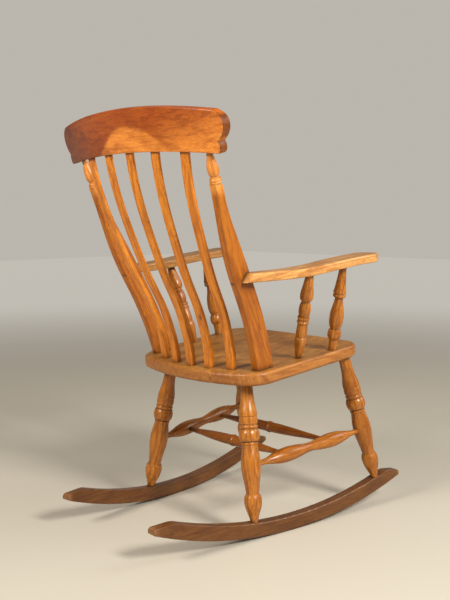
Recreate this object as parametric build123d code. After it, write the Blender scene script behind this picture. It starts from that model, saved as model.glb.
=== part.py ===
from build123d import *
from math import atan, cos, degrees, pi, radians, sin, tan
import os

os.makedirs("parts", exist_ok=True)

# Lath-back Windsor rocking armchair, millimetres.
# X runs across the chair with +X to the sitter's left, -Y is the front, +Z is up.
# The pieces are laid out about a line midway between the two cross stretchers.
# The finished chair is then rolled on its rockers to the angle where it rests.

# ---- seat ----
SEAT_WIDTH = 480.0
SEAT_FRONT = -195.0
SEAT_BACK = 258.0
SEAT_THICK = 34.0
SEAT_HEIGHT = 443.0
SEAT_SLOPE = 5.9
SEAT_REAR_INSET = 8.0
SEAT_FRONT_CORNER = 56.0
SEAT_REAR_CORNER = 72.0
SEAT_TOP_ROUND = 7.0
SEAT_UNDER_ROUND = 12.0
SEAT_DISH_RADIUS = 180.0
SEAT_DISH_DEPTH = 6.0
SEAT_DISH_Y = -25.0

# ---- back posts ----
POST_WIDTH = 25.0
POST_DEPTH = 57.0
POST_TOP_DEPTH = 26.0
POST_TAPER_FROM = SEAT_HEIGHT + 235.0
POST_TAPER_TO = SEAT_HEIGHT + 393.0
POST_FOOT_X = SEAT_WIDTH / 2 - 44.0
POST_SPLAY = 0.088
POST_TENON = 24.0
POST_CURVE = (
    (-51, 182),
    (-12, 191),
    (67, 217),
    (146, 252),
    (224, 293),
    (303, 325),
    (382, 350),
    (438, 370),
)
FINIAL_LEAN = (0.10, 0.40, 1.0)

# ---- laths ----
LATH_COUNT = 5
LATH_FOOT_PITCH = 64.0
LATH_TURN = 3.8
LATH_TOP_PITCH = 92.0
LATH_TOP_WIDTH = 26.0
LATH_FOOT_WIDTH = 23.0
LATH_TOP_THICK = 8.5
LATH_FOOT_THICK = 15.5
LATH_TOP_BOW = 4.3
LATH_FOOT_BOW = 5.5
LATH_TENON = 12.0
LATH_EDGE = 2.0
LATH_CURVE = (
    (-51, 236),
    (7, 238),
    (67, 253),
    (126, 275),
    (204, 316),
    (283, 352),
    (362, 384),
    (440, 410),
    (517, 426.5),
    (542, 429.5),
)

# ---- crest rail ----
CREST_HALF = SEAT_WIDTH / 2 + 64.0
CREST_BOTTOM = SEAT_HEIGHT + 487.0
CREST_HEIGHT = 96.0
CREST_ARCH_LOW = 27.0
CREST_ARCH_TOP = 36.0
CREST_THICK = 22.5
CREST_RADIUS = 1085.0
CREST_LEAN = 14.5
CREST_BACK_Y = 428.0
CREST_TENON = 18.0
CREST_ROUND = 3.0

# ---- arms and their supports ----
ARM_THICK = 22.0
ARM_REAR_Y = 270.0
ARM_FRONT_Y = -197.0
ARM_OUTER_X = SEAT_WIDTH / 2 + 64.0
ARM_CURVE = ((290, 227), (193, 231), (97, 237), (1, 249), (-105, 260), (-206, 266))
REAR_SUPPORT_FOOT = (SEAT_WIDTH / 2 - 40.0, 35.0)
REAR_SUPPORT_HEAD = (ARM_OUTER_X - 35.0, 70.0)
FRONT_SUPPORT_FOOT = (SEAT_WIDTH / 2 - 20.0, -80.0)
FRONT_SUPPORT_HEAD = (ARM_OUTER_X - 38.0, -66.0)
SUPPORT_TENON_D = 15.0
SUPPORT_TENON = 15.0

# ---- legs, all four turned to one pattern ----
LEG_REAR_TOP = (SEAT_WIDTH / 2 - 94.0, 171.0)
LEG_REAR_FOOT = (SEAT_WIDTH / 2 - 34.0, 201.0)
LEG_FRONT_TOP = (SEAT_WIDTH / 2 - 41.0, -154.0)
LEG_FRONT_FOOT = (SEAT_WIDTH / 2 + 15.0, -228.0)
LEG_MAX_D = 50.0
LEG_TENON_D = 26.0
LEG_TENON = 19.0
FOOT_TENON_D = 14.0
FOOT_TENON = 22.0

# ---- stretchers ----
SIDE_SWELL_D = 39.0
SIDE_WAIST_D = 24.0
SIDE_END_D = 16.0
SIDE_UP_LEG = 0.39
CROSS_Y = 72.5
CROSS_MID_D = 28.0
CROSS_END_D = 13.0
STRETCHER_TENON = 14.0

# ---- rockers ----
ROCKER_RADIUS = 1165.0
ROCKER_HEIGHT = 37.0
ROCKER_THICK = 28.0
ROCKER_MID_X = SEAT_WIDTH / 2 - 12.1
ROCKER_TOE = 6.2
ROCKER_CENTRE = 87.0
ROCKER_REAR = 510.0
ROCKER_FRONT = -319.0
ROCKER_REAR_EASE = 62.0
ROCKER_FRONT_EASE = 52.0
ROCKER_TIP = 13.0
ROCKER_EDGE = 2.5

# ---- arm fixings ----
PLUG_D = 12.0
PLUG_LONG = 7.0
SCREW_HEAD_D = 9.6
SCREW_SHANK_D = 5.0
SCREW_LONG = 84.0
SCREW_X = POST_FOOT_X + 15.0
SCREW_Z = SEAT_HEIGHT + 205.0
SCREW_RISE = 0.16

BIG = 1600.0


def raised(curve):
    """A side curve of (height above the seat, distance back) points, set at the seat's height."""
    return [(SEAT_HEIGHT + rise, back) for rise, back in curve]


POST_PATH = raised(POST_CURVE)
LATH_PATH = raised(LATH_CURVE)
ARM_PATH = [(back, SEAT_HEIGHT + rise) for back, rise in ARM_CURVE]


# ---- helpers ----
def seat_top(y):
    """Height of the flat seat surface at a distance y."""
    return SEAT_HEIGHT - y * tan(radians(SEAT_SLOPE))


def on_seat(low, high):
    """A wide slab parallel to the seat, between two heights from its top face."""
    slab = Box(BIG, BIG, high - low, align=(Align.CENTER, Align.CENTER, Align.MIN))
    return Pos(0, 0, SEAT_HEIGHT) * Rot(-SEAT_SLOPE, 0, 0) * Pos(0, 0, low) * slab


def biggest(shape):
    return Part() + max(shape.solids(), key=lambda s: s.volume)


def mirrored(solid):
    return mirror(solid, about=Plane.YZ)


def between(solid, start, end):
    """Place a piece made along +Z from the origin onto the line start to end."""
    a = Vector(*start)
    b = Vector(*end)
    return Plane(origin=a, x_dir=(0, 1, 0), z_dir=b - a).location * solid


def along(start, end, part):
    a = Vector(*start)
    return a + (Vector(*end) - a) * part


def turning(runs):
    """Turn a piece about Z from runs of (height, diameter); long runs are curves."""
    edges = []
    for run in runs:
        pts = [(d / 2, h) for h, d in run]
        edges.append(Line(*pts) if len(pts) == 2 else Spline(*pts))
    joined = [edges[0]]
    for nxt in edges[1:]:
        if (joined[-1] @ 1 - nxt @ 0).length > 1e-6:
            joined.append(Line(joined[-1] @ 1, nxt @ 0))
        joined.append(nxt)
    first = joined[0] @ 0
    last = joined[-1] @ 1
    joined.append(Line(last, (0, last.Y)))
    joined.append(Line((0, last.Y), (0, first.Y)))
    joined.append(Line((0, first.Y), first))
    return revolve(make_face([Plane.XZ * e for e in joined]), Axis.Z)


def height_on(curve, z):
    """The distance back of a (height, y) template at a height."""
    for (z0, y0), (z1, y1) in zip(curve, curve[1:]):
        if z0 <= z <= z1:
            return y0 + (y1 - y0) * (z - z0) / (z1 - z0)
    return curve[-1][1]


def scaled(runs, length, nominal, girth=1.0):
    """The same turning pattern made for another length and girth."""
    k = length / nominal
    return [[(h * k, d * girth) for h, d in run] for run in runs]


def sawn(rear, front, width):
    """A board sawn to a side template; both edges are lists of (height, y)."""
    a = Spline(*[(y, z) for z, y in rear])
    b = Spline(*[(y, z) for z, y in front])
    face = make_face([a, Line(a @ 1, b @ 1), b, Line(b @ 0, a @ 0)])
    return extrude(Plane.YZ * face, amount=width / 2, both=True)


# ---- seat ----
def seat_blank():
    half = SEAT_WIDTH / 2
    rear_half = half - SEAT_REAR_INSET
    rear_y = SEAT_BACK - 44
    front_y = SEAT_FRONT + 10
    rear = ThreePointArc((rear_half, rear_y), (0, SEAT_BACK), (-rear_half, rear_y))
    left = Line((-rear_half, rear_y), (-half - 2, front_y))
    front = ThreePointArc((-half - 2, front_y), (0, SEAT_FRONT), (half + 2, front_y))
    right = Line((half + 2, front_y), (rear_half, rear_y))
    outline = Sketch() + make_face([rear, left, front, right])
    corners = outline.vertices().sort_by(Axis.Y)
    outline = fillet(corners[:2], SEAT_FRONT_CORNER)
    corners = outline.vertices().sort_by(Axis.Y)
    outline = fillet(corners[-2:], SEAT_REAR_CORNER)
    board = extrude(outline, amount=-SEAT_THICK)
    board = fillet(board.faces().sort_by(Axis.Z)[-1].edges(), SEAT_TOP_ROUND)
    board = fillet(board.faces().sort_by(Axis.Z)[0].edges(), SEAT_UNDER_ROUND)
    big_r = (SEAT_DISH_RADIUS ** 2 + SEAT_DISH_DEPTH ** 2) / (2 * SEAT_DISH_DEPTH)
    board -= Pos(0, SEAT_DISH_Y, big_r - SEAT_DISH_DEPTH) * Sphere(big_r)
    return Pos(0, 0, SEAT_HEIGHT) * Rot(-SEAT_SLOPE, 0, 0) * board


# ---- crest rail ----
def crest_blank():
    """A bowed board, arched above and below with eased edges, then cut to shape at the ends."""
    half = CREST_HALF
    wide = half + 30
    drop = (wide / half) ** 2
    top_end = CREST_HEIGHT + CREST_ARCH_TOP * (1 - drop)
    low_end = CREST_ARCH_LOW * (1 - drop)
    top = ThreePointArc((wide, top_end), (0, CREST_HEIGHT + CREST_ARCH_TOP), (-wide, top_end))
    bottom = ThreePointArc((-wide, low_end), (0, CREST_ARCH_LOW), (wide, low_end))
    face = make_face([top, Line(top @ 1, bottom @ 0), bottom, Line(bottom @ 1, top @ 0)])
    board = extrude(Plane.XZ * face, amount=BIG / 4, both=True)
    ring = Cylinder(CREST_RADIUS, BIG / 2) - Cylinder(CREST_RADIUS - CREST_THICK, BIG / 2)
    board &= Pos(0, -CREST_RADIUS, 0) * (ring & Pos(0, CREST_RADIUS, 0) * Box(BIG, CREST_RADIUS, BIG))
    board = biggest(board)
    board = fillet([e for e in board.edges() if e.length > half], CREST_ROUND)
    board &= crest_ends()
    return Pos(0, CREST_BACK_Y, CREST_BOTTOM) * Rot(-CREST_LEAN, 0, 0) * biggest(board)


def crest_ends():
    """Each end is a large lobe over a small one, as a prism through the board."""
    k = CREST_HEIGHT / 96.0
    half = CREST_HALF
    low = half - 17
    notch = (low - 3, 31 * k)
    small = [(low - 30, -9), (low - 14, -1), (low - 3, 8), (low, 18)]
    large = [(half - 4, 50), (half, 66), (half - 4, 83), (half - 18, 97), (half - 34, 112)]
    lobe = Spline(*[(x, z * k) for x, z in small], notch)
    upper = Spline(notch, *[(x, z * k) for x, z in large])
    sides = [lobe, upper] + [mirror(e, about=Plane.YZ) for e in (lobe, upper)]
    roof = Polyline(upper @ 1, (half - 34, BIG / 8), (34 - half, BIG / 8), (34 - half, 112 * k))
    floor = Polyline(lobe @ 0, (low - 30, -BIG / 8), (30 - low, -BIG / 8), (30 - low, -9 * k))
    return extrude(Plane.XZ * make_face(sides + [roof, floor]), amount=BIG / 4, both=True)


# ---- back posts ----
def post_depth(z):
    """Full depth low down, easing in to the round neck under the finial."""
    t = min(max((z - POST_TAPER_FROM) / (POST_TAPER_TO - POST_TAPER_FROM), 0), 1)
    return POST_DEPTH + (POST_TOP_DEPTH - POST_DEPTH) * (1 - cos(pi * t)) / 2


def post_lean(solid):
    turn = degrees(atan(POST_SPLAY))
    return Pos(POST_FOOT_X, 0, SEAT_HEIGHT) * Rot(0, turn, 0) * Pos(0, 0, -SEAT_HEIGHT) * solid


def finial_line():
    z, y = POST_PATH[-1]
    start = Vector(POST_FOOT_X + POST_SPLAY * (z - SEAT_HEIGHT), y - POST_TOP_DEPTH / 2, z - 1)
    return start, start + Vector(*FINIAL_LEAN).normalized() * 84


def finial():
    runs = [
        [(-4, 22), (2, 24)],
        [(2, 26), (4.5, 28.6), (7.5, 27)],
        [(7.5, 26.5), (11, 28.4), (14, 25)],
        [(15, 21), (18, 20), (21, 22.5)],
        [(21, 23), (30, 27), (38, 27.8), (50, 24), (62, 18.5), (70, 16)],
    ]
    return turning(runs)


def post_blank():
    front = [(z, y - post_depth(z)) for z, y in POST_PATH]
    board = sawn(POST_PATH, front, POST_WIDTH)
    long_edges = board.edges().filter_by(lambda e: e.length > 300)
    board = fillet(long_edges, 4)
    board = post_lean(board) & on_seat(0, BIG / 2)
    start, end = finial_line()
    return board + between(finial(), start, end)


def post_tenon():
    y = POST_PATH[1][1] - POST_DEPTH / 2 - 1
    block = Box(POST_WIDTH - 8, POST_DEPTH - 16, 60)
    placed = Pos(POST_FOOT_X - 1, y, seat_top(y)) * Rot(-16, 4, 0) * block
    return placed & on_seat(-POST_TENON, 0.5)


def finial_tenon():
    start, end = finial_line()
    pin = Cylinder(7, 46, align=(Align.CENTER, Align.CENTER, Align.MIN))
    return between(pin, along(start, end, 0.42), end)


# ---- laths ----
def lath(i, crest):
    """Lath i counts from -2 to 2 across the back, on a shallow bow and turned to face along it."""
    turn = radians(LATH_TURN * i)
    z0, y0 = LATH_PATH[0]
    z1, y1 = LATH_PATH[-1]
    inward = (LATH_FOOT_PITCH - LATH_TOP_PITCH) * i
    foot_x = inward * cos(turn) - (y0 - y1) * sin(turn)
    reach = cos(turn) + inward * sin(turn) / (y0 - y1)
    reach += (LATH_FOOT_BOW - LATH_TOP_BOW) * i * i / (y1 - y0)
    rear = [(z, (y - y1) * reach) for z, y in LATH_PATH]
    front = []
    for z, y in rear:
        t = (z - z0) / (z1 - z0)
        thick = LATH_FOOT_THICK + (LATH_TOP_THICK - LATH_FOOT_THICK) * min(t * 1.3, 1)
        front.append((z, y - thick))
    body = biggest(sawn(rear, front, BIG / 2) & lath_face(foot_x, 0))
    body = fillet(body.edges().filter_by(lambda e: e.length > 300), LATH_EDGE)
    inner_rear = [(z, y - 1.5) for z, y in rear]
    inner_front = [(z, y + 1.5) for z, y in front]
    core = sawn(inner_rear, inner_front, BIG / 2) & lath_face(foot_x, 3)
    place = Pos(LATH_TOP_PITCH * i, y1 - LATH_TOP_BOW * i * i, 0) * Rot(0, 0, -degrees(turn))
    body = place * body
    core = place * core
    body = biggest((body & on_seat(0, BIG / 2)) - crest)
    foot = core & on_seat(-LATH_TENON, 4)
    head = core & crest_zone(CREST_TENON)
    return biggest(body + foot + head)


def lath_face(foot_x, less):
    """The taper of a lath seen from behind, as a wide prism."""
    z0, z1 = LATH_PATH[0][0], LATH_PATH[-1][0]
    f = LATH_FOOT_WIDTH / 2 - less
    h = LATH_TOP_WIDTH / 2 - less
    pts = [(foot_x - f, z0), (foot_x + f, z0), (h, z1), (-h, z1)]
    return extrude(Plane.XZ * make_face(Polyline(*pts, close=True)), amount=BIG / 2, both=True)


def crest_zone(deep):
    """The space from just under the crest's lower edge to the bottom of its mortises."""
    half = CREST_HALF
    low = ThreePointArc((-half, -14), (0, CREST_ARCH_LOW - 8), (half, -14))
    high = ThreePointArc((half, deep - 6), (0, CREST_ARCH_LOW + deep), (-half, deep - 6))
    right = Line(low @ 1, high @ 0)
    left = Line(high @ 1, low @ 0)
    zone = extrude(Plane.XZ * make_face([low, right, high, left]), amount=BIG / 2, both=True)
    return Pos(0, CREST_BACK_Y, CREST_BOTTOM) * Rot(-CREST_LEAN, 0, 0) * zone


# ---- arms ----
def arm_blank():
    out = ARM_OUTER_X
    heel, side = (out - 99, ARM_REAR_Y), (out - 78, -140)
    inner = Spline(heel, (out - 91, 183), (out - 75, 68), (out - 74, -48), side)
    tip = ARM_FRONT_Y
    nose = Spline(side, (out - 67, tip + 12), (out - 39, tip), (out - 11, tip + 18), (out - 1, -122))
    outer = Spline((out - 1, -122), (out, -57), (out - 7, 68), (out - 29, 174), (out - 54, ARM_REAR_Y))
    back = Line(outer @ 1, inner @ 0)
    plan = extrude(make_face([inner, nose, outer, back]), amount=BIG)
    top = Spline(*ARM_PATH)
    under = Spline(*[(y, z - ARM_THICK) for y, z in ARM_PATH])
    side = make_face([top, Line(top @ 1, under @ 1), under, Line(under @ 0, top @ 0)])
    board = plan & extrude(Plane.YZ * side, amount=BIG / 2, both=True)
    cut = Box(BIG, 60, 200, align=(Align.CENTER, Align.MIN, Align.CENTER))
    cut = Pos(0, ARM_REAR_Y - 16, ARM_PATH[0][1]) * Rot(35, 0, 0) * cut
    board = biggest(board - cut)
    edges = [e for e in board.edges() if e.length > 60]
    return fillet(edges, 5)


def arm_under(y):
    """Height of the arm's lower face."""
    curve = Spline(*[(a, z - ARM_THICK) for a, z in ARM_PATH])
    hits = curve.intersect(Line((y, 0), (y, 2000)))
    point = hits if isinstance(hits, Vector) else hits.vertices()[0].center()
    return point.Y


# ---- arm supports ----
def support(runs, nominal, foot, head, arm):
    start = Vector(foot[0], foot[1], seat_top(foot[1]))
    end = Vector(head[0], head[1], arm_under(head[1]))
    long = (end - start).length
    body = between(turning(scaled(runs, long, nominal)), start, end)
    body = biggest((body & on_seat(0, BIG / 2)) - arm)
    whole = long + 2 * SUPPORT_TENON
    pin = Cylinder(SUPPORT_TENON_D / 2, whole, align=(Align.CENTER, Align.CENTER, Align.MIN))
    pin = between(Pos(0, 0, -SUPPORT_TENON) * pin, start, end)
    return body + pin


REAR_SUPPORT_RUNS = [
    [(-6, 17), (0, 17), (20, 21), (45, 29.5), (54, 30.5), (61, 28)],
    [(62, 26), (66, 27.5), (84, 28.5), (101, 27)],
    [(102, 30), (104.5, 31.5), (107, 30)],
    [(108.5, 27), (112, 27)],
    [(113, 30), (116, 31.5), (119, 30)],
    [(120, 25), (128, 29.5), (140, 31), (152, 28), (159, 22)],
    [(161, 22), (164, 24)],
    [(166, 30), (172, 33.5), (186, 33), (205, 27), (235, 20), (243, 19)],
]
FRONT_SUPPORT_RUNS = [
    [(-6, 24), (0, 24)],
    [(0, 24), (15, 23), (30, 25)],
    [(32, 30), (37, 34.5), (52, 34.5), (57, 31)],
    [(58, 27), (61, 27)],
    [(62, 29), (75, 36), (89, 38), (110, 34), (128, 26), (143, 22)],
    [(145, 22), (147, 28)],
    [(148, 32), (151, 34.5), (154, 33)],
    [(155, 31), (157, 31)],
    [(158, 33), (161, 34.5), (164, 33.5)],
    [(166, 32), (185, 26.5), (210, 21), (232, 18), (240, 18)],
]


# ---- legs ----
LEG_RUNS = [
    [(-8, 19), (0, 19.5), (14, 26), (34, 40), (48, 45), (58, 44.5), (65, 41)],
    [(66, 38), (68, 38)],
    [(69, 33.5), (86, 37), (111, 44.5), (138, 50), (162, 47.5), (184, 40.5), (190, 39)],
    [(191, 41), (194, 42), (198, 41)],
    [(199, 38), (200.5, 38)],
    [(201, 46), (204, 49), (227, 49), (230, 46)],
    [(231, 42), (232, 42)],
    [(233, 44), (236, 46.5), (240, 45)],
    [(241, 42), (243, 42)],
    [(244, 45), (248, 47), (256, 47), (260, 46)],
    [(261, 44), (263, 44)],
    [(264, 47), (272, 46), (295, 38), (318, 33), (354, 32), (372, 32)],
]


def leg_line(top, foot):
    start = Vector(foot[0], foot[1], rocker_top(foot[1]))
    end = Vector(top[0], top[1], seat_top(top[1]) - SEAT_THICK)
    return start, end


def leg(top, foot, rocker):
    start, end = leg_line(top, foot)
    long = (end - start).length
    body = between(turning(scaled(LEG_RUNS, long, 354, LEG_MAX_D / 50)), start, end)
    body = biggest(body - on_seat(-SEAT_THICK, BIG / 2) - rocker)
    head = Cylinder(LEG_TENON_D / 2, 80, align=(Align.CENTER, Align.CENTER, Align.MIN))
    head = between(Pos(0, 0, long - 30) * head, start, end)
    head = head & on_seat(-SEAT_THICK - 20, LEG_TENON - SEAT_THICK)
    toe = Cylinder(FOOT_TENON_D / 2, FOOT_TENON + 15, align=(Align.CENTER, Align.CENTER, Align.MIN))
    toe = between(Pos(0, 0, -FOOT_TENON) * toe, start, end)
    return body + head + toe


# ---- rockers ----
def rocker_top(y):
    """Height of the rocker's upper edge."""
    s = (y - ROCKER_CENTRE) / cos(radians(ROCKER_TOE))
    inner = ROCKER_RADIUS - ROCKER_HEIGHT
    return ROCKER_RADIUS - (inner ** 2 - s ** 2) ** 0.5


def rocker_edge(s, radius):
    """A point on an arc about the rocking centre, s measured along the rocker."""
    return (s, ROCKER_RADIUS - (radius ** 2 - (s - rocker_mid()) ** 2) ** 0.5)


def rocker_mid():
    return ROCKER_CENTRE / cos(radians(ROCKER_TOE))


def rocker_blank():
    """A board sawn to two arcs, its upper edge running down to a rounded tip at each end."""
    inner = ROCKER_RADIUS - ROCKER_HEIGHT
    blunt = ROCKER_RADIUS - ROCKER_TIP
    front, mid, rear = [rocker_edge(s, ROCKER_RADIUS) for s in (ROCKER_FRONT, rocker_mid(), ROCKER_REAR)]
    rear_ease = rocker_edge(ROCKER_REAR - ROCKER_REAR_EASE, inner)
    front_ease = rocker_edge(ROCKER_FRONT + ROCKER_FRONT_EASE, inner)
    under = ThreePointArc(front, mid, rear)
    over = ThreePointArc(rear_ease, rocker_edge(rocker_mid(), inner), front_ease)
    back_end = Polyline(rear, rocker_edge(ROCKER_REAR, blunt), rear_ease)
    front_end = Polyline(front_ease, rocker_edge(ROCKER_FRONT, blunt), front)
    outline = Sketch() + make_face([under, back_end, over, front_end])
    by_y = outline.vertices().sort_by(Axis.X)
    eased = [by_y[2], by_y[-3]]
    outline = fillet(eased, 60)
    by_y = outline.vertices().sort_by(Axis.X)
    tips = sorted(by_y[:2], key=lambda v: v.Y)[-1:] + sorted(by_y[-2:], key=lambda v: v.Y)[-1:]
    outline = fillet(tips, 9)
    for end in (ROCKER_FRONT, ROCKER_REAR):
        corner = [v for v in outline.vertices() if abs(v.X - end) < 0.01]
        outline = fillet(min(corner, key=lambda v: v.Y), 3.5)
    board = extrude(Plane.YZ * outline, amount=ROCKER_THICK / 2, both=True)
    board = fillet(board.faces().filter_by(Axis.X).edges(), ROCKER_EDGE)
    return Pos(ROCKER_MID_X, 0, 0) * Rot(0, 0, ROCKER_TOE) * board


# ---- stretchers ----
def side_line():
    rear = along(*leg_line(LEG_REAR_TOP, LEG_REAR_FOOT), SIDE_UP_LEG)
    front = along(*leg_line(LEG_FRONT_TOP, LEG_FRONT_FOOT), SIDE_UP_LEG)
    return rear, front


def side_stretcher():
    rear, front = side_line()
    long = (front - rear).length
    r = LEG_MAX_D / 2
    end = SIDE_END_D
    a = long / 2 - CROSS_Y - 1
    b = long / 2 + CROSS_Y + 1
    swell = SIDE_SWELL_D
    curve = [
        (r, end), (r + 30, end + 2.5), (a - 45, swell - 9), (a, swell), (a + 38, SIDE_WAIST_D + 8),
        (long / 2, SIDE_WAIST_D), (b - 38, SIDE_WAIST_D + 8), (b, swell), (b + 45, swell - 9),
        (long - r - 30, end + 2.5), (long - r, end),
    ]
    tip = r - STRETCHER_TENON
    runs = [[(tip, end), (r, end)], curve, [(long - r, end), (long - tip, end)]]
    return between(turning(runs), rear, front)


def cross_stretcher(y):
    rear, front = side_line()
    t = (rear.Y - y) / (rear.Y - front.Y)
    p = along(rear, front, t)
    half = p.X
    r = SIDE_SWELL_D / 2
    tip = half - r + STRETCHER_TENON
    end, mid = CROSS_END_D, CROSS_MID_D
    seat_end = half - r
    curve = [(-seat_end, end), (-seat_end + 30, end + 1.5), (-95, mid - 5.5), (-40, mid - 0.5), (-7, mid)]
    back = [(-h, d) for h, d in curve[::-1]]
    ring = [(-7, mid + 1), (-3, mid + 4), (3, mid + 4), (7, mid + 1)]
    runs = [[(-tip, end), (-seat_end, end)], curve, ring, back, [(seat_end, end), (tip, end)]]
    bar = turning(runs)
    return Pos(0, p.Y, p.Z) * Rot(0, 90, 0) * bar


# ---- arm fixings ----
def screw_line():
    start = Vector(SCREW_X, height_on(POST_PATH, SCREW_Z) + 0.8, SCREW_Z)
    return start, start + Vector(0.03, -1, SCREW_RISE).normalized() * 100


def plug():
    start, end = screw_line()
    pin = Cylinder(PLUG_D / 2, PLUG_LONG, align=(Align.CENTER, Align.CENTER, Align.MIN))
    pin = chamfer(pin.faces().sort_by(Axis.Z)[0].edges(), 0.8)
    return between(pin, start, end)


def screw():
    start, end = screw_line()
    head = SCREW_HEAD_D
    shank = SCREW_SHANK_D
    body = turning([
        [(PLUG_LONG, head), (PLUG_LONG + 0.8, head)],
        [(PLUG_LONG + 3.6, shank), (SCREW_LONG - 8, shank)],
        [(SCREW_LONG - 8, shank), (SCREW_LONG, 0.6)],
    ])
    slot = Pos(0, 0, PLUG_LONG) * Box(head + 2, 1.2, 2.4)
    return between(body - slot, start, end)


# ---- build every piece, then cut each socket with the piece that enters it ----
def build():
    parts = {}
    seat = seat_blank()
    crest = crest_blank()
    rocker = rocker_blank()
    arm = arm_blank()

    post = post_blank()
    post = biggest(post - crest) + post_tenon() + finial_tenon()
    plug_l = plug()
    screw_l = screw()
    arm = biggest(arm - post)
    rear_support = support(REAR_SUPPORT_RUNS, 235, REAR_SUPPORT_FOOT, REAR_SUPPORT_HEAD, arm)
    front_support = support(FRONT_SUPPORT_RUNS, 232, FRONT_SUPPORT_FOOT, FRONT_SUPPORT_HEAD, arm)
    arm = arm - rear_support - front_support - screw_l
    post = post - plug_l - screw_l

    rear_leg = leg(LEG_REAR_TOP, LEG_REAR_FOOT, rocker)
    front_leg = leg(LEG_FRONT_TOP, LEG_FRONT_FOOT, rocker)
    rocker = rocker - rear_leg - front_leg
    side = side_stretcher()
    rear_leg = rear_leg - side
    front_leg = front_leg - side
    cross = {"rear": cross_stretcher(CROSS_Y), "front": cross_stretcher(-CROSS_Y)}
    side = side - cross["rear"] - cross["front"]

    handed = {
        "back_post": post, "arm": arm, "arm_support_rear": rear_support, "arm_support_front": front_support,
        "leg_rear": rear_leg, "leg_front": front_leg, "side_stretcher": side, "rocker": rocker,
        "plug": plug_l, "arm_screw": screw_l,
    }
    for name, solid in handed.items():
        parts[name + "_left"] = solid
        parts[name + "_right"] = mirrored(solid)
    for end, bar in cross.items():
        parts["cross_stretcher_" + end] = bar
    for n in range(LATH_COUNT):
        parts["lath_%d" % (n + 1)] = lath(n - (LATH_COUNT - 1) / 2, crest)

    for name, solid in parts.items():
        if name.startswith(("back_post", "arm_support", "leg", "lath")):
            seat = seat - solid
        if name.startswith(("back_post", "lath")):
            crest = crest - solid
    parts["seat"] = seat
    parts["crest_rail"] = crest
    return parts


def settle(parts):
    """Roll the chair on its rockers until it hangs level, then centre it on the floor."""
    solids = [s for p in parts.values() for s in p.solids()]
    total = sum(s.volume for s in solids)
    mid_y = sum(s.volume * s.center(CenterOf.MASS).Y for s in solids) / total
    mid_z = sum(s.volume * s.center(CenterOf.MASS).Z for s in solids) / total
    lever = ROCKER_RADIUS * cos(radians(ROCKER_TOE)) ** 2 - mid_z
    roll = degrees(atan((mid_y - ROCKER_CENTRE) / lever))
    print("mass centre y %.1f z %.1f, rolled %.2f degrees" % (mid_y, mid_z, roll))
    turn = Pos(0, ROCKER_CENTRE, ROCKER_RADIUS) * Rot(-roll, 0, 0) * Pos(0, -ROCKER_CENTRE, -ROCKER_RADIUS)
    rolled = {name: turn * p for name, p in parts.items()}
    boxes = [p.bounding_box() for p in rolled.values()]
    low = min(b.min.Z for b in boxes)
    mid = (min(b.min.Y for b in boxes) + max(b.max.Y for b in boxes)) / 2
    print("moved by y %.2f z %.2f" % (-mid, -low))
    return {name: Pos(0, -mid, -low) * p for name, p in rolled.items()}


def main():
    parts = settle(build())
    for name, solid in parts.items():
        solid.label = name
        export_step(solid, "parts/%s.step" % name)
        print("%-26s %9.0f mm3  solids %d" % (name, solid.volume, len(solid.solids())))
    box = Compound(children=[p for p in parts.values()]).bounding_box()
    print("overall", box.size)


main()
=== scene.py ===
"""Rocking armchair: waxed wood for every piece, with a floor, soft lights and a camera."""

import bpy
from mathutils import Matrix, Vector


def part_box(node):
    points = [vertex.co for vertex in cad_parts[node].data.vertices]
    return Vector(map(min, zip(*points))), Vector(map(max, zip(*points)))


bl_info = {
    "name": "Rocking Armchair",
    "version": (1, 0, 0),
    "blender": (4, 5, 0),
    "location": "View3D > Sidebar > Chair",
    "description": "Finishes the pieces of a wooden rocking armchair and sets the stage round it",
    "category": "Object",
}

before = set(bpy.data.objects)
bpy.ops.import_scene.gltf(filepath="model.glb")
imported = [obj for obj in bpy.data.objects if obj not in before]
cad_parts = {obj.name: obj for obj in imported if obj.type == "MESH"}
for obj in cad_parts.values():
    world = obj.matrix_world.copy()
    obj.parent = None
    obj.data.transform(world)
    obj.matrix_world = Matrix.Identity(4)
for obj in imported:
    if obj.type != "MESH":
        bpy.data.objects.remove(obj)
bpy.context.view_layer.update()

from math import pi, radians

import bpy
import numpy as np
from bpy.props import FloatProperty, FloatVectorProperty, PointerProperty
from mathutils import Euler, Vector

SIDES = ("left", "right")

# ---- colours that all the woods share ----
BLACK = (0.0, 0.0, 0.0, 1.0)
DEEP_TINT = (0.55, 0.42, 0.34, 1.0)
PALE_TINT = (1.30, 1.48, 1.80, 1.0)
MARK_COLOUR = (0.045, 0.016, 0.006, 1.0)
# near black for dark wax and painted shade in hollows and joints
GRIME_AND_SHADE_COLOUR = (0.030, 0.011, 0.005, 1.0)
END_GRAIN_COLOUR = (0.32, 0.15, 0.06, 1.0)
POLISH_TINT = (1.0, 0.93, 0.80, 1.0)
# painted shade: the left arm's wood is darkened by this factor to stand for the shade it sits in
LEFT_ARM_SHADE = 0.62

# ---- grain noises: stretch along the grain, scale, detail, roughness ----
FIBRE = (0.07, 330.0, 3.0, 0.65)
STREAKS = (0.10, 120.0, 3.0, 0.6)
PORES = (0.16, 420.0, 1.0, 0.5)
BLOTS = (0.45, 42.0, 4.0, 0.62)
RING_WANDER = (0.35, 7.0, 2.0, 0.5)
MARK_STRETCH = 0.45
MARK_SCALE = 24.0

# ---- growth rings, metres: how far the heart lies outside the piece ----
HEART_ACROSS = 0.035
HEART_STEP = 0.02
HEART_UP = 0.045
RING_SLANT = 0.035
RING_WAVE = 0.022

# ---- hollows and edges, metres ----
HOLLOW_REACH = 0.020
WORN_EDGE = 0.004
BUMP_DEPTH = 0.0005

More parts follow.
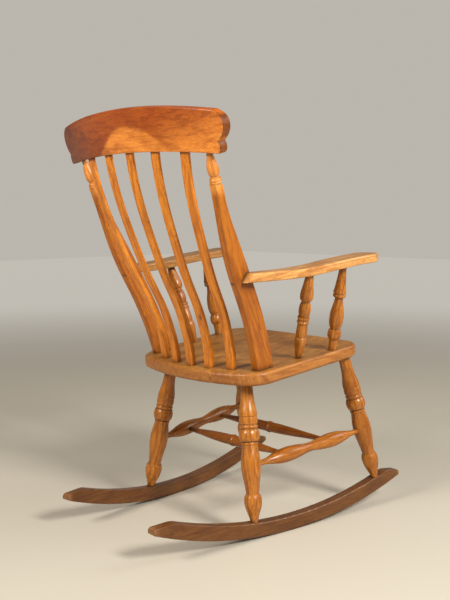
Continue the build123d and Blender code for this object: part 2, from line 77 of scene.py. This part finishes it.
# ---- stage: places in metres from the middle of the floor under the chair ----
LIT_POINT = (0.0, 0.0, 0.55)
SIDE_LIGHT = ((-3.0, 0.25, 2.3), 0.9, (1.0, 0.96, 0.90))
REAR_LIGHT = ((0.15, 3.0, 2.2), 1.0, (1.0, 0.95, 0.88))
FRONT_LIGHT = ((-1.9, -2.6, 2.4), 2.0, (1.0, 0.97, 0.92))
FLOOR_SIZE = 24.0
FLOOR_NEAR = 1.6
FLOOR_FAR = 6.0


# ---- what a user can change ----
def tone(name, description, default):
    """A wood colour as a property."""
    return FloatVectorProperty(
        name=name, description=description, default=default, size=3, min=0.0, max=1.0,
        subtype="COLOR",
    )


def share(name, description, default, high=1.0):
    """A plain amount as a property."""
    return FloatProperty(
        name=name, description=description, default=default, min=0.0, max=high,
        subtype="FACTOR",
    )


def power(name, description, default):
    """A light's power in watts as a property."""
    return FloatProperty(
        name=name, description=description, default=default, min=0.0,
        subtype="POWER", unit="POWER",
    )


class WoodTones(bpy.types.PropertyGroup):
    """Colours of the waxed wood, one for each kind of piece."""

    crest: tone("Crest rail", "Red-brown of the crest rail", (0.320, 0.062, 0.003))
    # also the colour of the painted light on the crest's right end
    crest_pale_and_lit: tone("Crest, pale patch", "Orange where the crest has paled", (0.860, 0.310, 0.045))
    lath: tone("Laths", "Honey brown of the upright laths", (0.560, 0.180, 0.013))
    post: tone("Back posts", "Brown of the sawn back posts", (0.345, 0.100, 0.005))
    finial: tone("Post tops", "Paler wood of the turned post tops", (0.580, 0.215, 0.036))
    arm: tone("Arms", "Pale honey of the hand-worn arms", (0.554, 0.261, 0.073))
    seat: tone("Seat edge", "Honey brown of the seat's edge", (0.335, 0.125, 0.022))
    seat_top: tone("Seat top", "Greyer brown of the sat-on top", (0.355, 0.155, 0.026))
    turned: tone("Turned pieces", "Brown of legs, supports and stretchers", (0.370, 0.128, 0.014))
    cross: tone("Cross stretchers", "Darker brown under the seat", (0.210, 0.064, 0.007))
    rocker: tone("Rockers", "Dark brown of the rockers", (0.125, 0.043, 0.007))
    plug: tone("Plugs", "Nearly black brown of the plugs", (0.13, 0.045, 0.013))


class WoodFigure(bpy.types.PropertyGroup):
    """How the grain shows and how the polish has aged."""

    ring_gap: FloatProperty(
        name="Ring spacing", description="Distance between growth rings",
        default=0.0055, min=0.001, max=0.02,
        subtype="DISTANCE", unit="LENGTH",
    )
    grain: share("Grain", "How strongly the grain shows", 0.90)
    patina: share("Patina", "How uneven the old stain is", 0.85)
    # strength of the dark wax and the painted shade in hollows, creases and joints
    grime_and_shade: share("Grime", "Dark wax gathered in grooves and joints", 0.92)
    wear: share("Wear", "Paler wood where the edges are rubbed", 0.60)
    roughness: share("Roughness", "Roughness of the waxed surface", 0.40)
    coat: share("Polish", "Weight of the clear polish on top", 0.24)
    edge: FloatProperty(
        name="Softened edge", description="Radius to which sharp edges look rubbed",
        default=0.0015, min=0.0, max=0.01, subtype="DISTANCE", unit="LENGTH",
    )


class StageSettings(bpy.types.PropertyGroup):
    """Floor, lights and camera."""

    floor: tone("Floor", "Colour of the plain floor", (0.513, 0.474, 0.397))
    air: tone("Surround", "Colour of the surrounding light", (0.50, 0.47, 0.42))
    fill: share("Fill", "Strength of the surrounding light", 0.5)
    window: power("Side light", "Power of the light at the chair's right", 150.0)
    rear: power("Rear light", "Power of the light behind the chair", 98.0)
    front: power("Front light", "Power of the weak light in front of the chair", 45.0)
    eye: FloatVectorProperty(
        name="Camera place", description="Where the camera stands",
        default=(-1.7222, 1.6582, 0.8130), size=3, subtype="TRANSLATION", unit="LENGTH",
    )
    heading: FloatProperty(
        name="Camera heading", description="Which way the camera faces", default=radians(-133.73),
        subtype="ANGLE", unit="ROTATION",
    )
    dip: FloatProperty(
        name="Camera dip", description="How far the camera looks down", default=radians(5.558),
        subtype="ANGLE", unit="ROTATION",
    )
    lens: FloatProperty(
        name="Lens", description="Focal length of the camera in millimetres",
        default=53.4, min=10.0, max=200.0,
    )


# ---- node materials ----
class Field:
    """A value that varies over a surface. Sums on fields add their Math nodes."""

    def __init__(self, finish, socket):
        self.finish = finish
        self.socket = socket

    def maths(self, operation, first, second=0.0):
        node = self.finish.add("ShaderNodeMath", {"operation": operation}, {0: first, 1: second})
        return self.finish.out(node)

    def __add__(self, other):
        return self.maths("ADD", self, other)

    def __sub__(self, other):
        return self.maths("SUBTRACT", self, other)

    def __mul__(self, other):
        return self.maths("MULTIPLY", self, other)

    def __truediv__(self, other):
        return self.maths("DIVIDE", self, other)

    def __radd__(self, other):
        return self.maths("ADD", other, self)

    def __rsub__(self, other):
        return self.maths("SUBTRACT", other, self)

    def __rmul__(self, other):
        return self.maths("MULTIPLY", other, self)

    def __abs__(self):
        return self.maths("ABSOLUTE", self)

    def root(self):
        return self.maths("SQRT", self)


class Finish:
    """One procedural material, built node by node."""

    def __init__(self, name, store=None):
        store = bpy.data.materials if store is None else store
        self.material = store.new(name)
        self.material.use_nodes = True
        self.tree = self.material.node_tree
        self.tree.nodes.clear()

    def add(self, kind, settings=None, values=None):
        """A node of this type: first its settings, then its sockets' values or links."""
        node = self.tree.nodes.new(kind)
        for key, value in (settings or {}).items():
            setattr(node, key, value)
        for key, value in (values or {}).items():
            socket = node.inputs[key]
            if isinstance(value, Field):
                self.tree.links.new(value.socket, socket)
            else:
                socket.default_value = value
        return node

    def out(self, node, output=0):
        return Field(self, node.outputs[output])

    def split(self, vector):
        node = self.add("ShaderNodeSeparateXYZ", None, {0: vector})
        return [self.out(node, i) for i in range(3)]

    def stretched(self, vector, scale):
        settings = {"operation": "MULTIPLY"}
        return self.out(self.add("ShaderNodeVectorMath", settings, {0: vector, 1: scale}))

    def along(self, vector, amount):
        """The same place with its length along the grain shortened, which draws patterns out."""
        return self.stretched(vector, (1.0, 1.0, amount))

    def grainy(self, vector, pattern):
        """Noise drawn out along the grain."""
        stretch, scale, detail, roughness = pattern
        return self.noise(self.along(vector, stretch), scale, detail, roughness)

    def noise(self, vector, scale, detail=2.0, roughness=0.5):
        """Soft noise from 0 to 1, the same in every run."""
        values = {"Vector": vector, "Scale": scale, "Detail": detail, "Roughness": roughness}
        return self.out(self.add("ShaderNodeTexNoise", None, values), "Fac")

    def line_noise(self, value, detail=2.0):
        """Noise along one number, for uneven growth rings."""
        values = {"W": value, "Scale": 1.0, "Detail": detail}
        return self.out(self.add("ShaderNodeTexNoise", {"noise_dimensions": "1D"}, values), "Fac")

    def step(self, value, low, high, start=0.0, end=1.0):
        """Eases from start to end as value goes from low to high."""
        settings = {"interpolation_type": "SMOOTHSTEP", "clamp": True}
        values = {"Value": value, "From Min": low, "From Max": high, "To Min": start, "To Max": end}
        return self.out(self.add("ShaderNodeMapRange", settings, values))

    def mixed(self, amount, first, second, mode="MIX"):
        """A colour between two colours."""
        settings = {"data_type": "RGBA", "blend_type": mode, "clamp_factor": True}
        return self.out(self.add("ShaderNodeMix", settings, {0: amount, 6: first, 7: second}), 2)


def rgba(colour, light=1.0):
    """A colour for a node's socket, made lighter or darker."""
    return (colour[0] * light, colour[1] * light, colour[2] * light, 1.0)


def mesh_points(piece):
    points = np.empty(len(piece.data.vertices) * 3)
    piece.data.vertices.foreach_get("co", points)
    return points.reshape(-1, 3)


def grain_line(piece, along=None):
    """Middle of a piece, and the turn that carries +Z onto its grain, its long direction."""
    low, high = (Vector(corner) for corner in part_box(piece.name))
    if along is None:
        points = mesh_points(piece)
        axes = np.linalg.svd(points - points.mean(0), full_matrices=False)[2]
        along = Vector(axes[0])
    if along.dot(Vector((0.31, 0.47, 1.0))) < 0:
        along = -along
    return (low + high) / 2, along.to_track_quat("Z", "X").to_euler()


def wood(
    name, piece, colour, seed, along=None, streak=1.0, patch=None, rings=1.0, gloss=0.0, spots=1.0
):
    """Waxed wood with its grain along the piece. patch(finish, place) gives (amount, colour) pairs."""
    figure = bpy.context.scene.chair_figure
    finish = Finish(name)
    add, out = finish.add, finish.out
    place = out(add("ShaderNodeTexCoord"), "Object")
    centre, turn = grain_line(piece, along)
    values = {"Vector": place, "Location": centre, "Rotation": turn}
    local = out(add("ShaderNodeMapping", {"vector_type": "TEXTURE"}, values))
    shift = (seed * 0.371, seed * 0.233, seed * 0.519)
    local = out(add("ShaderNodeVectorMath", {"operation": "ADD"}, {0: local, 1: shift}))
    across, up, length = finish.split(local)

    # growth rings round a heart that lies outside the piece
    across = across - shift[0] + HEART_ACROSS + HEART_STEP * (seed % 3)
    up = up - shift[1] + HEART_UP
    wander = finish.grainy(local, RING_WANDER) - 0.5
    slant = (length - shift[2]) * RING_SLANT
    radius = (across * across + up * up).root() + slant + wander * RING_WAVE
    ring = finish.line_noise(radius / figure.ring_gap, 1.0)
    late = finish.step(ring, 0.42, 0.72)

    # fibres, pores, stain and small marks
    fibre = finish.grainy(local, FIBRE)
    streaks = finish.grainy(local, STREAKS)
    pores = finish.step(finish.grainy(local, PORES), 0.62, 0.72)
    blots = finish.grainy(local, BLOTS)
    cloud = finish.noise(local, 9.0, 3.0, 0.55)
    broad = finish.noise(local, 2.6, 1.0)
    values = {"Vector": finish.along(local, MARK_STRETCH), "Scale": MARK_SCALE}
    cells = out(add("ShaderNodeTexVoronoi", None, values), "Distance")
    mark = finish.step(cells + 0.25 * (1.0 - cloud), 0.13, 0.24, 1.0, 0.0)

    # dirt and painted shade: ambient occlusion darkens the hollows, creases and joints, and the rubbed
    # edges turn pale
    hidden = add("ShaderNodeAmbientOcclusion", {"samples": 6}, {"Distance": HOLLOW_REACH})
    occluded_grime_shade = finish.step(out(hidden, "AO"), 0.30, 0.88, 1.0, 0.0)
    soft = add("ShaderNodeBevel", {"samples": 4}, {"Radius": figure.edge})
    wide = out(add("ShaderNodeBevel", {"samples": 4}, {"Radius": WORN_EDGE}))
    true_normal = out(add("ShaderNodeNewGeometry"), "Normal")
    turned = add("ShaderNodeVectorMath", {"operation": "DOT_PRODUCT"}, {0: wide, 1: true_normal})
    edge = finish.step(out(turned, "Value"), 0.86, 0.99, 1.0, 0.0)
    edge = edge * finish.step(cloud, 0.36, 0.60) * (1.0 - occluded_grime_shade)

    shade = rgba(colour)
    for amount, other in patch(finish, place) if patch else ():
        shade = finish.mixed(amount, shade, other)
    deep = finish.mixed(1.0, shade, DEEP_TINT, "MULTIPLY")
    pale = finish.mixed(1.0, shade, PALE_TINT, "MULTIPLY")
    grain = figure.grain * streak
    shade = finish.mixed(finish.step(fibre, 0.46, 0.62) * (0.55 * grain), shade, pale)
    shade = finish.mixed(finish.step(broad, 0.45, 0.62) * (0.40 * figure.patina), shade, pale)
    shade = finish.mixed(late * (0.50 * grain * rings), shade, deep)
    shade = finish.mixed(finish.step(streaks, 0.46, 0.66) * (0.62 * grain), shade, deep)
    shade = finish.mixed(finish.step(blots, 0.52, 0.66) * (0.60 * figure.patina), shade, deep)
    shade = finish.mixed(finish.step(cloud, 0.50, 0.74) * (0.65 * figure.patina), shade, deep)
    shade = finish.mixed(pores * (0.60 * grain), shade, deep)
    shade = finish.mixed(mark * (0.75 * spots), shade, MARK_COLOUR)
    shade = finish.mixed(edge * figure.wear, shade, pale)
    # painted shade, partly dark wax: occluded hollows, grooves and joints are darkened towards near
    # black
    shade = finish.mixed(occluded_grime_shade * figure.grime_and_shade, shade, GRIME_AND_SHADE_COLOUR)

    rough = figure.roughness - gloss + 0.10 * (fibre - 0.5) + 0.14 * (cloud - 0.5)
    rough = rough + 0.25 * occluded_grime_shade + 0.08 * edge
    height = fibre * 0.6 + ring * 0.35 + streaks * 0.6 - pores * 0.8 - mark * 0.6
    values = {"Height": height, "Strength": 0.40, "Distance": BUMP_DEPTH, "Normal": out(soft)}
    bump = out(add("ShaderNodeBump", None, values))
    values = {
        "Base Color": shade,
        "Roughness": rough,
        "Normal": bump,
        "IOR": 1.46,
        "Coat Weight": figure.coat,
        "Coat Roughness": 0.27,
        "Specular IOR Level": 0.32,
        "Coat Tint": POLISH_TINT,
    }
    shader = add("ShaderNodeBsdfPrincipled", None, values)
    add("ShaderNodeOutputMaterial", None, {"Surface": out(shader)})
    return finish.material


def dressed(node, material):
    """Puts a material on every slot of a CAD node."""
    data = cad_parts[node].data
    data.materials.clear()
    data.materials.append(material)


def both(stem):
    return [stem + "_" + side for side in SIDES]


def finish_pieces(nodes, colour, first_seed, **kind):
    """The same wood on like pieces, each with its own run of grain."""
    for number, node in enumerate(nodes):
        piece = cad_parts[node]
        dressed(node, wood("wood_" + node, piece, colour, first_seed + number, **kind))


# ---- patches of another colour ----
def crest_painted_light(finish, place):
    """The crest rail has painted shade darkening its left end, painted light paling its right end, and
    a pale swell low in the middle.
    """
    tones = bpy.context.scene.chair_tones
    low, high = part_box("crest_rail")
    x, y, z = finish.split(place)
    wander = finish.noise(place, 14.0, 2.0) - 0.5
    side = x / high[0]
    arch = 0.026 - 0.026 * side * side
    rise = (z - low[2] - arch) / 0.100
    off = side + 0.08
    swell = finish.step(rise + 2.9 * off * off + 0.20 * wander, 0.38, 0.52, 1.0, 0.0)
    # painted light: the right end and its lower part turn pale orange as if lit from that side
    right = finish.step(side + 0.6 * rise + 0.35 * wander, -0.75, 0.05, 1.0, 0.0)
    # painted shade: the left end turns dark as if turned away from the light
    left = finish.step(side - 0.25 * rise + 0.15 * wander, 0.05, 0.80)
    facing = finish.out(finish.add("ShaderNodeTexCoord"), "Normal")
    end = finish.step(abs(finish.split(facing)[0]), 0.55, 0.85)
    dark = rgba(tones.crest, 0.25)
    pale = rgba(tones.crest_pale_and_lit)
    right = right * (0.62 - 0.45 * rise)
    return (right, pale), (swell * 0.60, pale), (left * 0.70, dark), (end * 0.85, dark)


def sat_on(finish, place):
    """The seat's top has gone greyer than its edge."""
    tones = bpy.context.scene.chair_tones
    facing = finish.out(finish.add("ShaderNodeTexCoord"), "Normal")
    up = finish.split(facing)[2]
    return ((finish.step(up, 0.80, 0.97), rgba(tones.seat_top)),)


def turned_top(finish, place):
    """The turned top of a post is paler than the sawn part."""
    tones = bpy.context.scene.chair_tones
    z = finish.split(place)[2]
    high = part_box("back_post_left")[1][2]
    return ((finish.step(z, high - 0.110, high - 0.085), rgba(tones.finial)),)


def end_grain(finish, place):
    """The sawn tips of the rockers show paler end grain."""
    low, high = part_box("rocker_left")
    y = finish.split(place)[1]
    rear = finish.step(y, high[1] - 0.020, high[1] - 0.004)
    front = finish.step(y, low[1] + 0.004, low[1] + 0.020, 1.0, 0.0)
    return (((rear + front) * 0.35, END_GRAIN_COLOUR),)


# ---- operators, one for each piece or group of like pieces ----
class CHAIR_OT_seat(bpy.types.Operator):
    """Waxed plank seat, grain from front to back"""

    bl_idname = "chair.finish_seat"
    bl_label = "Finish the seat"

    def execute(self, context):
        tones = context.scene.chair_tones
        along = Vector((0, 1, 0))
        finish_pieces(["seat"], tones.seat, 1, along=along, patch=sat_on, gloss=-0.06, spots=0.6)
        return {"FINISHED"}


class CHAIR_OT_crest(bpy.types.Operator):
    """Red-brown crest rail with a pale swell"""

    bl_idname = "chair.finish_crest"
    bl_label = "Finish the crest rail"

    def execute(self, context):
        tone = context.scene.chair_tones.crest
        kind = {"patch": crest_painted_light, "rings": 0.4, "gloss": 0.08, "spots": 0.3}
        finish_pieces(["crest_rail"], tone, 3, **kind)
        return {"FINISHED"}


class CHAIR_OT_laths(bpy.types.Operator):
    """Upright laths of the back"""

    bl_idname = "chair.finish_laths"
    bl_label = "Finish the laths"

    def execute(self, context):
        nodes = ["lath_%d" % n for n in range(1, 6)]
        finish_pieces(nodes, context.scene.chair_tones.lath, 5, gloss=0.04)
        return {"FINISHED"}


class CHAIR_OT_posts(bpy.types.Operator):
    """Sawn back posts with turned tops"""

    bl_idname = "chair.finish_posts"
    bl_label = "Finish the back posts"

    def execute(self, context):
        tones = context.scene.chair_tones
        finish_pieces(both("back_post"), tones.post, 11, patch=turned_top, spots=1.3)
        return {"FINISHED"}


class CHAIR_OT_arms(bpy.types.Operator):
    """Arms worn smooth and pale by hands"""

    bl_idname = "chair.finish_arms"
    bl_label = "Finish the arms"

    def execute(self, context):
        colour = Vector(context.scene.chair_tones.arm)
        finish_pieces(["arm_right"], colour, 14, gloss=0.07, spots=0.4)
        # painted shade: the left arm gets a darker copy of the arm wood
        finish_pieces(["arm_left"], LEFT_ARM_SHADE * colour, 15, gloss=0.07, spots=0.4)
        return {"FINISHED"}


class CHAIR_OT_supports(bpy.types.Operator):
    """Turned supports under the arms"""

    bl_idname = "chair.finish_supports"
    bl_label = "Finish the arm supports"

    def execute(self, context):
        nodes = both("arm_support_rear") + both("arm_support_front")
        tones = context.scene.chair_tones
        finish_pieces(nodes, tones.turned, 17, streak=1.3, gloss=0.12, spots=0.8)
        return {"FINISHED"}


class CHAIR_OT_legs(bpy.types.Operator):
    """Four legs turned to one pattern"""

    bl_idname = "chair.finish_legs"
    bl_label = "Finish the legs"

    def execute(self, context):
        nodes = both("leg_rear") + both("leg_front")
        tones = context.scene.chair_tones
        finish_pieces(nodes, tones.turned, 22, streak=1.3, gloss=0.14, spots=1.0)
        return {"FINISHED"}


class CHAIR_OT_stretchers(bpy.types.Operator):
    """Side and cross stretchers between the legs"""

    bl_idname = "chair.finish_stretchers"
    bl_label = "Finish the stretchers"

    def execute(self, context):
        tones = context.scene.chair_tones
        finish_pieces(both("side_stretcher"), tones.turned, 27, streak=1.3, gloss=0.12, spots=0.8)
        nodes = ["cross_stretcher_rear", "cross_stretcher_front"]
        finish_pieces(nodes, tones.cross, 30, gloss=0.10, spots=0.6)
        return {"FINISHED"}


class CHAIR_OT_rockers(bpy.types.Operator):
    """Dark sawn rockers"""

    bl_idname = "chair.finish_rockers"
    bl_label = "Finish the rockers"

    def execute(self, context):
        tones = context.scene.chair_tones
        finish_pieces(both("rocker"), tones.rocker, 33, patch=end_grain, gloss=0.02)
        return {"FINISHED"}


class CHAIR_OT_fixings(bpy.types.Operator):
    """Dark plugs over the arm screws, and the screws' steel"""

    bl_idname = "chair.finish_fixings"
    bl_label = "Finish the plugs and screws"

    def execute(self, context):
        tones = context.scene.chair_tones
        finish_pieces(both("plug"), tones.plug, 36, along=Vector((1, 0, 0)), spots=0.0)
        finish = Finish("screw_steel")
        place = finish.out(finish.add("ShaderNodeTexCoord"), "Object")
        tarnish = finish.noise(place, 400.0, 3.0)
        shade = finish.mixed(tarnish, (0.32, 0.31, 0.30, 1.0), (0.16, 0.13, 0.11, 1.0))
        values = {"Base Color": shade, "Metallic": 1.0, "Roughness": 0.30 + 0.35 * tarnish}
        shader = finish.add("ShaderNodeBsdfPrincipled", None, values)
        finish.add("ShaderNodeOutputMaterial", None, {"Surface": finish.out(shader)})
        for node in both("arm_screw"):
            dressed(node, finish.material)
        return {"FINISHED"}


def area_light(name, kind, watts):
    """A round soft light that faces the chair."""
    place, size, colour = kind
    data = bpy.data.lights.new(name, "AREA")
    data.shape = "DISK"
    data.size = size
    data.energy = watts
    data.color = colour
    lamp = bpy.data.objects.new(name, data)
    lamp.location = place
    lamp.rotation_euler = (Vector(place) - Vector(LIT_POINT)).to_track_quat("Z", "Y").to_euler()
    bpy.context.scene.collection.objects.link(lamp)


def floor_material(colour, air):
    """Pale floor that melts into the surround far behind the chair."""
    finish = Finish("floor")
    place = finish.out(finish.add("ShaderNodeTexCoord"), "Object")
    x, y, z = finish.split(place)
    far = finish.step((x * x + y * y).root(), FLOOR_NEAR, FLOOR_FAR)
    cloud = finish.noise(place, 1.5, 3.0)
    shade = finish.mixed(cloud, rgba(colour, 0.97), rgba(colour, 1.03))
    shade = finish.mixed(far, shade, BLACK)
    glow = finish.mixed(far, BLACK, rgba(air))
    values = {"Base Color": shade, "Roughness": 0.55}
    values.update({"Emission Color": glow, "Emission Strength": 1.0})
    shader = finish.add("ShaderNodeBsdfPrincipled", None, values)
    finish.add("ShaderNodeOutputMaterial", None, {"Surface": finish.out(shader)})
    return finish.material


class CHAIR_OT_stage(bpy.types.Operator):
    """Plain pale floor, two soft lights and the camera"""

    bl_idname = "chair.set_stage"
    bl_label = "Set the stage"

    def execute(self, context):
        scene = context.scene
        stage = scene.chair_stage
        bpy.ops.object.select_all(action="DESELECT")
        bpy.ops.mesh.primitive_plane_add(size=FLOOR_SIZE, location=(0, 0, 0))
        floor = context.object
        floor.name = "floor"
        floor.data.materials.append(floor_material(stage.floor, stage.air))

        sky = Finish("surround", bpy.data.worlds)
        seen = sky.out(sky.add("ShaderNodeLightPath"), "Is Camera Ray")
        values = {"Color": rgba(stage.air), "Strength": stage.fill + seen * (1.0 - stage.fill)}
        backdrop = sky.add("ShaderNodeBackground", None, values)
        sky.add("ShaderNodeOutputWorld", None, {"Surface": sky.out(backdrop)})
        scene.world = sky.material
        scene.view_settings.view_transform = "Standard"

        area_light("side_light", SIDE_LIGHT, stage.window)
        area_light("rear_light", REAR_LIGHT, stage.rear)
        area_light("front_light", FRONT_LIGHT, stage.front)

        data = bpy.data.cameras.new("camera")
        data.lens = stage.lens
        camera = bpy.data.objects.new("camera", data)
        camera.location = stage.eye
        camera.rotation_euler = Euler((pi / 2 - stage.dip, 0.0, stage.heading))
        scene.collection.objects.link(camera)
        scene.camera = camera
        return {"FINISHED"}


PIECE_OPERATORS = (
    CHAIR_OT_seat,
    CHAIR_OT_crest,
    CHAIR_OT_laths,
    CHAIR_OT_posts,
    CHAIR_OT_arms,
    CHAIR_OT_supports,
    CHAIR_OT_legs,
    CHAIR_OT_stretchers,
    CHAIR_OT_rockers,
    CHAIR_OT_fixings,
    CHAIR_OT_stage,
)


class CHAIR_PT_panel(bpy.types.Panel):
    """Sizes, colours and steps of the rocking armchair"""

    bl_idname = "CHAIR_PT_panel"
    bl_label = "Rocking Armchair"
    bl_space_type = "VIEW_3D"
    bl_region_type = "UI"
    bl_category = "Chair"

    def draw(self, context):
        for title, group in GROUPS.items():
            box = self.layout.box()
            box.label(text=group.__doc__)
            settings = getattr(context.scene, title)
            for name in group.__annotations__:
                box.prop(settings, name)
        for operator in PIECE_OPERATORS:
            self.layout.operator(operator.bl_idname)


GROUPS = {"chair_tones": WoodTones, "chair_figure": WoodFigure, "chair_stage": StageSettings}


def register():
    for group in GROUPS.values():
        bpy.utils.register_class(group)
    for kind in PIECE_OPERATORS + (CHAIR_PT_panel,):
        bpy.utils.register_class(kind)
    for title, group in GROUPS.items():
        setattr(bpy.types.Scene, title, PointerProperty(type=group))


def unregister():
    for title in GROUPS:
        delattr(bpy.types.Scene, title)
    for kind in (CHAIR_PT_panel,) + PIECE_OPERATORS[::-1]:
        bpy.utils.unregister_class(kind)
    for group in GROUPS.values():
        bpy.utils.unregister_class(group)


def main():
    register()
    for operator in PIECE_OPERATORS:
        family, name = operator.bl_idname.split(".")
        getattr(getattr(bpy.ops, family), name)()


if __name__ == "__main__":
    main()
